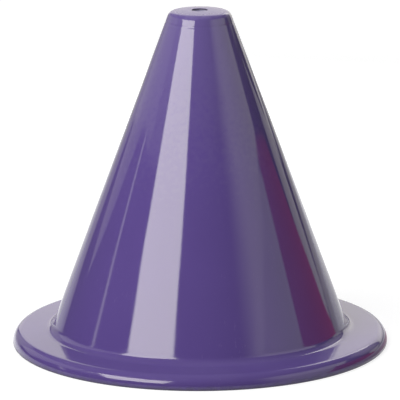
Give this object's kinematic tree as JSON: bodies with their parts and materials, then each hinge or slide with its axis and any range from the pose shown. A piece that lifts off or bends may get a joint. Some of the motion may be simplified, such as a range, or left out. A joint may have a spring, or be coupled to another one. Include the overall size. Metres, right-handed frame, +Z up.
{
  "type": "training cone",
  "caption": "Glossy purple soft-vinyl training cone with a flat, holed top, hollow inside and a round weighted base.",
  "frame": {"origin": "middle of the round base, on the ground plane that the base rests on", "axes": "+Z up along the cone's axis; X and Y are alike, because the cone is round"},
  "size_m": [0.1696, 0.1696, 0.1524],
  "materials": {
    "cone_vinyl": "glossy soft vinyl, slightly wavy",
    "base_vinyl": "glossy soft vinyl, lightly scuffed",
    "ballast_rubber": "matte filled rubber"
  },
  "bodies": {
    "root": {"cone_body": "cone_vinyl", "base_flange": "base_vinyl", "ballast_ring": "ballast_rubber"}
  },
  "joints": []
}
